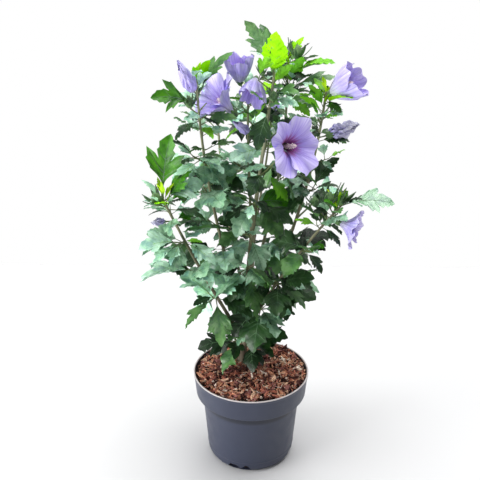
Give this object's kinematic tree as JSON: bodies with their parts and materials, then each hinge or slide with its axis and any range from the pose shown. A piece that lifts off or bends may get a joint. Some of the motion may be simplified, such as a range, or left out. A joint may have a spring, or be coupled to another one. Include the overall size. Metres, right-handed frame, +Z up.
{
  "type": "potted hibiscus shrub",
  "caption": "Young flowering hibiscus bush with lobed leaves, lilac trumpet blooms and buds on upright stems, rooted in bark mulch in a round tapered nursery pot with a deep collar.",
  "frame": {"origin": "centre of the pot's flat underside", "axes": "+Z up along the pot's axis, -Y towards the shrub's front, +X to its right as seen from the front"},
  "size_m": [0.3754, 0.3266, 0.7303],
  "materials": {
    "pot": "satin injection-moulded plastic",
    "mulch": "coarse composted bark chips",
    "bark": "smooth grey-green young bark",
    "foliage": "soft matt leaf"
  },
  "bodies": {
    "root": {"back_left": "bark", "back_left_in": "foliage", "back_left_low": "foliage", "back_left_top": "foliage", "back_right": "bark", "back_right_low": "foliage", "back_right_out": "foliage", "back_right_top": "foliage", "bloom_front": "foliage", "crown_left": "foliage", "crown_left_in": "foliage", "crown_right": "foliage", "crown_right_in": "foliage", "crown_top": "foliage", "foot_left": "foliage", "foot_right": "foliage", "heart_left": "foliage", "heart_low": "foliage", "heart_right": "foliage", "leader": "bark", "leader_back": "foliage", "leader_front": "foliage", "leader_high": "foliage", "leader_left": "foliage", "leader_low": "foliage", "left_back": "foliage", "left_high": "foliage", "left_in": "bark", "left_in_side": "foliage", "left_inner": "foliage", "left_low": "bark", "left_mid": "bark", "left_middle": "foliage", "low_left_back": "foliage", "low_left_in": "foliage", "low_left_out": "foliage", "low_left_tip": "foliage", "low_right_in": "foliage", "low_right_out": "foliage", "pot": "pot", "right": "bark", "right_back": "foliage", "right_in": "bark", "right_in_front": "foliage", "right_in_low": "foliage", "right_inner": "foliage", "right_low": "bark", "right_middle": "foliage", "root_ball": "mulch", "side_left": "foliage", "side_right": "foliage", "trunk": "bark"}
  },
  "joints": []
}
